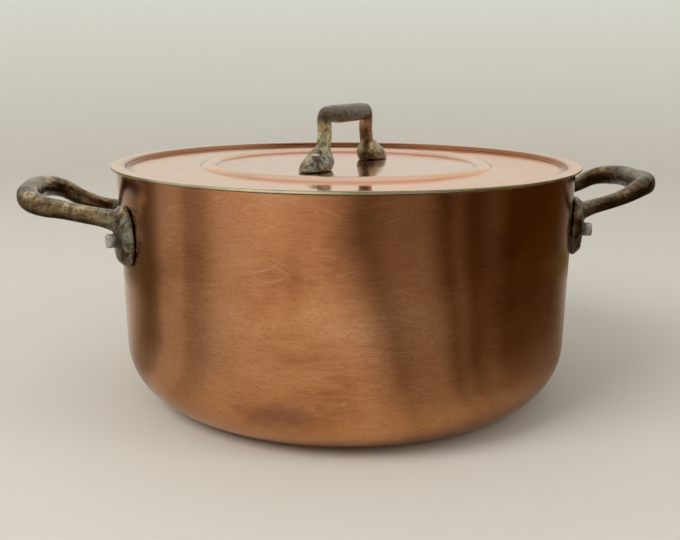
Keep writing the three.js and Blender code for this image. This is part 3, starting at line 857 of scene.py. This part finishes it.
HANDLE_TURN = radians(57)
GRIP_TOP = DISC_TOP + 0.032
GRIP_HALF_HEIGHT = 0.0048
GRIP_HALF_WIDTH = 0.005
GRIP_HALF_SPAN = 0.0245
LEG_HALF = 0.0036
LEG_LEAN = 0.004
TOE_MIDDLE = 0.0366
TOE_HALF = Vector((0.0125, 0.0073))
TOE_HEIGHT = 0.0117
TOE_FACE = DISC_TOP + 0.0066
LID_RIVET_PLACE = TOE_MIDDLE - 0.0005
LID_BORE = 0.0027
LID_SPOT = 0.0038
BELOW_TOE = DISC_TOP - 0.003
ABOVE_TOE = DISC_TOP + 0.03

# A toe from its sole to its top, as shares of its half width and of its height.
TOE_PROFILE = [(0, 0), (1, 0), (1, 0.22), (0.97, 0.36), (0.87, 0.50), (0.74, 0.64), (0.62, 0.78),
               (0.52, 0.90), (0.40, 1), (0, 1)]

# A finished toe waits this far aside, clear of the next one, which is turned at the axis.
ASIDE = 10


def cast_toe(bm, side):
    """Turned at full roundness, then stretched and leant so that its top meets the leg."""
    line = draw_line(bm, TOE_PROFILE)
    edges = [e for e in bm.edges if e.verts[0] in line]
    bmesh.ops.spin(bm, geom=line + edges, cent=(0, 0, 0), axis=(0, 0, 1), angle=2 * pi, steps=48,
                   use_merge=True)
    near_axis = [v for v in bm.verts if v.co.length < ASIDE / 2]
    bmesh.ops.remove_doubles(bm, verts=near_axis, dist=1e-5)
    for corner in [v for v in bm.verts if v.co.length < ASIDE / 2]:
        share = corner.co.z
        middle = TOE_MIDDLE * (1 - share) + (GRIP_HALF_SPAN + LEG_LEAN) * share
        corner.co = (ASIDE + side * middle + corner.co.x * TOE_HALF.x, corner.co.y * TOE_HALF.y,
                     DISC_TOP + SEAT_GAP + share * (TOE_HEIGHT - SEAT_GAP))


def cast_lid_handle():
    """Toes and bail of the casting, along X. The bail swells from its legs to its grip."""
    bm = bmesh.new()
    for side in (-1, 1):
        cast_toe(bm, side)
    bmesh.ops.translate(bm, verts=bm.verts[:], vec=(-ASIDE, 0, 0))
    grip = GRIP_TOP - GRIP_HALF_HEIGHT
    foot = DISC_TOP + 0.003
    half = [
        Vector((GRIP_HALF_SPAN + LEG_LEAN, 0, foot)),
        Vector((GRIP_HALF_SPAN + 0.8 * LEG_LEAN, 0, foot + 0.25 * (grip - foot))),
        Vector((GRIP_HALF_SPAN + 0.4 * LEG_LEAN, 0, foot + 0.6 * (grip - foot))),
        Vector((GRIP_HALF_SPAN + 0.0005, 0, foot + 0.98 * (grip - foot))),
        Vector((GRIP_HALF_SPAN - 0.005, 0, grip + 0.0003)),
        Vector((0.4 * GRIP_HALF_SPAN, 0, grip)),
        Vector((0, 0, grip)),
    ]
    whole = half + [Vector((-p.x, p.y, p.z)) for p in reversed(half[:-1])]
    points, _ = smooth_line(whole, 90)
    halves = []
    for i in range(len(points)):
        full = swell(way_in(i, points), 0.18, 0.24)
        halves.append((LEG_HALF + (GRIP_HALF_HEIGHT - LEG_HALF) * full,
                       LEG_HALF + (GRIP_HALF_WIDTH - LEG_HALF) * full))
    cast_bar(bm, points, halves, (0, 1, 0))
    bmesh.ops.recalc_face_normals(bm, faces=bm.faces[:])
    return bm


lid_handle = make_piece("lid_bail", cast_lid_handle(), [])
pour(lid_handle, grain=0.0005, soften=8)
for side in (-1, 1):
    x = side * LID_RIVET_PLACE
    cut_with_peg(lid_handle, LID_BORE, (x, 0, BELOW_TOE), (x, 0, ABOVE_TOE))
    cut_with_peg(lid_handle, LID_SPOT, (x, 0, TOE_FACE), (x, 0, ABOVE_TOE))
lid_handle.data.transform(Matrix.Rotation(HANDLE_TURN, 4, "Z"))
lid_handle.data.materials.append(bronze)
mark_underside(lid_handle)
fit_piece(lid_handle, "lid", "bronze", "lid_handle")

# Rivets of the lid handle
# Each rivet is driven down through a toe and the sheet and clenched flat under the lid.
# Its low head sits in the spot face of the toe.

LID_HEAD = 0.0032
LID_SHANK = 0.0024
CLENCH = 0.0016
UNDER = DISC_TOP - LID_SHEET - SEAT_GAP
SEAT = TOE_FACE + SEAT_GAP

for end, side in (("a", -1), ("b", 1)):
    bm = bmesh.new()
    line = draw_line(bm, [
        (0, UNDER - CLENCH),
        (LID_HEAD, UNDER - CLENCH),
        (LID_HEAD, UNDER),
        (LID_SHANK, UNDER),
        (LID_SHANK, SEAT),
        (LID_HEAD, SEAT),
        (0.85 * LID_HEAD, SEAT + 0.0011),
        (0.45 * LID_HEAD, SEAT + 0.0017),
        (0, SEAT + 0.0018),
    ])
    clenched_edge, head_corners = line[1], line[6:8]
    round_corner(bm, [clenched_edge], 0.0008, 4)
    round_corner(bm, head_corners, 0.0006, 4)
    turn_on_lathe(bm, RIVET_TURNS)
    bmesh.ops.translate(bm, verts=bm.verts[:], vec=(side * LID_RIVET_PLACE, 0, 0))
    bmesh.ops.rotate(bm, verts=bm.verts[:], cent=(0, 0, 0), matrix=Matrix.Rotation(HANDLE_TURN, 3, "Z"))
    rivet = make_piece("lid_pin_" + end, bm, [rivet_metal])
    fit_piece(rivet, "lid", "rivet_metal", "lid_rivet_" + end)

# Studio
# A plain pale floor runs up to a pale background, with a large soft lamp on the left and a weaker one on
# the right. Dark cards stand in for the room that polished metal mirrors. The camera stands where the
# photograph was taken from: 0.48 m from the pot's axis, a little above the lid.

TURNED = radians(-8.2)
FOOT_DISTANCE = 0.4804
EYE_HEIGHT = 0.1732
AIM_ASIDE = 0.0061
TILT_DOWN = 0.2245
ROLL = 0.0045
LENS = 47.17
STUDIO_TURNS = 96
MAT_PLACE = (0.168, 0, 0.06)
LAMP_TARGET = (0, 0, 0.08)


def pale_sweep():
    finish, tree, shader = new_finish("pale_sweep")
    colour = tones(tree, between(tree, along(tree, "Z"), 0.0, 0.5), [
        (0.0, (0.60, 0.555, 0.485)),
        (1.0, (0.86, 0.870, 0.83)),
    ])
    tree.links.new(colour, shader.inputs["Base Color"])
    shader.inputs["Roughness"].default_value = 0.9
    shader.inputs["Specular IOR Level"].default_value = 0.1
    return finish


bm = bmesh.new()
line = draw_line(bm, [(0, 0), (2.0, 0), (2.0, 2.4)])
round_corner(bm, line[1:2], 0.9, 16)
turn_on_lathe(bm, STUDIO_TURNS)
sweep = make_piece("sweep", bm, [pale_sweep()])


def glow_where(tree, cover, colour):
    """Leaves a finish clear but for a faint glow, as dark as the colour, where the cover is above 0."""
    glow = put(tree, "Emission", {"Color": colour, "Strength": 1.0})
    gap = put(tree, "BsdfTransparent")
    mix = put(tree, "MixShader", {0: cover, 1: gap.outputs[0], 2: glow.outputs[0]})
    tree.links.new(mix.outputs[0], tree.nodes["Material Output"].inputs["Surface"])


def dark_flag():
    """A dark card round the pot that only polished metal sees, with clear gaps where light falls in."""
    finish, tree, _ = new_finish("dark_flag")
    turn = sums(tree, "ARCTAN2", along(tree, "X"), times(tree, along(tree, "Y"), -1.0))
    leaning = times(tree, between(tree, turn, -0.3, 0.05), between(tree, turn, 0.9, 0.25))
    lean = times(tree, between(tree, along(tree, "Z"), 0.005, 0.08, -0.22, 0.05), leaning)
    share = between(tree, sums(tree, "ADD", turn, lean), -pi, pi)

    # Degrees round the pot from the front to the right, and how dark the card is there
    darkness_round = [
        (-180, 0.0), (-130, 0.0), (-112, 0.1), (-100, 0.45), (-90, 0.82), (-82, 0.95), (-76, 0.82),
        (-71, 0.40), (-61, 0.36), (-57, 0.66), (-50, 0.60), (-43, 0.28), (-34, 0.12), (-23, 0.0),
        (-7, 0.0), (1, 0.35), (8, 0.78), (17, 0.64), (27, 0.68), (34, 0.97), (38, 0.82), (43, 1.0),
        (52, 0.88), (59, 1.0), (92, 1.0), (102, 0.88), (115, 0.5), (140, 0.0),
    ]
    stops = [(degrees / 360 + 0.5, (dark, dark, dark)) for degrees, dark in darkness_round]
    darkness = tones(tree, share, stops)
    cover = times(tree, darkness, between(tree, distance_from_axis(tree), 0.100, 0.205, 0.3, 1.0))
    glow_where(tree, cover, (0.070, 0.036, 0.006, 1))
    return finish


bm = bmesh.new()
draw_line(bm, [(0.100, 0.0005), (0.158, 0.0015), (0.195, 0.014), (0.213, 0.134)])
turn_on_lathe(bm, STUDIO_TURNS)
flag = make_piece("flag", bm, [dark_flag()])
flag.rotation_euler.z = TURNED


def dark_canopy():
    """A dark cloth over and behind the camera, soft at its edges, that only polished metal sees."""
    finish, tree, _ = new_finish("dark_canopy")
    aim = put(tree, "VectorMath", {0: piece_coordinates(tree)}, operation="NORMALIZE").outputs[0]
    aims = put(tree, "SeparateXYZ", {0: aim}).outputs
    behind = between(tree, aims["Y"], -0.05, -0.35, 0.0, 0.9)
    raised = times(tree, between(tree, aims["Z"], 0.12, 0.28),
                   between(tree, aims["Z"], 0.95, 0.75, 0.35, 1.0))
    not_aside = between(tree, apart(tree, aims["X"], 0.0), 0.80, 0.50)
    glow_where(tree, times(tree, times(tree, behind, raised), not_aside), (0.100, 0.066, 0.042, 1))
    return finish


bm = bmesh.new()
bmesh.ops.create_uvsphere(bm, u_segments=48, v_segments=24, radius=1.5)
canopy = make_piece("canopy", bm, [dark_canopy()])


def mat_place(side):
    x, y, z = MAT_PLACE
    return side * x, y, z


def dark_ground():
    """A dark brown mat under each side handle, soft at its edges, that only polished metal sees."""
    finish, tree, _ = new_finish("dark_ground")
    right, left = (patch(tree, mat_place(side), (0.05, 0.075, 0.1)) for side in (1, -1))
    mats = sums(tree, "ADD", right, left)
    glow_where(tree, times(tree, mats, 0.9), (0.130, 0.105, 0.040, 1))
    return finish


bm = bmesh.new()
for side in (-1, 1):
    spread = Matrix.Translation(mat_place(side)) @ Matrix.Diagonal((0.042, 0.07, 1, 1))
    bmesh.ops.create_grid(bm, x_segments=1, y_segments=1, size=1, matrix=spread)
ground = make_piece("ground", bm, [dark_ground()])

for shade in (flag, canopy, ground):
    for sight in ("camera", "diffuse", "shadow", "transmission", "volume_scatter"):
        setattr(shade, "visible_" + sight, False)

world = bpy.data.worlds.new("studio")
bpy.context.scene.world = world
world.use_nodes = True
backdrop = world.node_tree.nodes["Background"]
backdrop.inputs["Color"].default_value = (0.95, 0.97, 1.0, 1)
backdrop.inputs["Strength"].default_value = 0.75


def soft_lamp(name, place, width, height, power):
    """A flat lamp that lights the room and is not seen in the metal."""
    lamp = bpy.data.lights.new(name, "AREA")
    lamp.shape, lamp.size, lamp.size_y, lamp.energy = "RECTANGLE", width, height, power
    held = bpy.data.objects.new(name, lamp)
    bpy.context.collection.objects.link(held)
    aim = (Vector(LAMP_TARGET) - Vector(place)).to_track_quat("-Z", "Y").to_matrix().to_4x4()
    held.matrix_world = Matrix.Translation(place) @ aim
    held.visible_glossy = False


soft_lamp("key", (-1.1, -0.7, 1.2), width=0.9, height=0.9, power=20)
soft_lamp("fill", (1.3, -0.8, 1.0), width=0.6, height=0.9, power=5)

seen = bpy.data.cameras.new("camera")
seen.sensor_width, seen.lens = 36, LENS
camera = bpy.data.objects.new("camera", seen)
bpy.context.collection.objects.link(camera)
stand = Matrix.Translation((FOOT_DISTANCE * sin(TURNED), -FOOT_DISTANCE * cos(TURNED), EYE_HEIGHT))
swing = Matrix.Rotation(TURNED + AIM_ASIDE, 4, "Z")
tilt = Matrix.Rotation(pi / 2 - TILT_DOWN, 4, "X")
roll = Matrix.Rotation(ROLL, 4, "Z")
camera.matrix_world = stand @ swing @ tilt @ roll
bpy.context.scene.camera = camera

bpy.context.scene.view_settings.view_transform = "Standard"
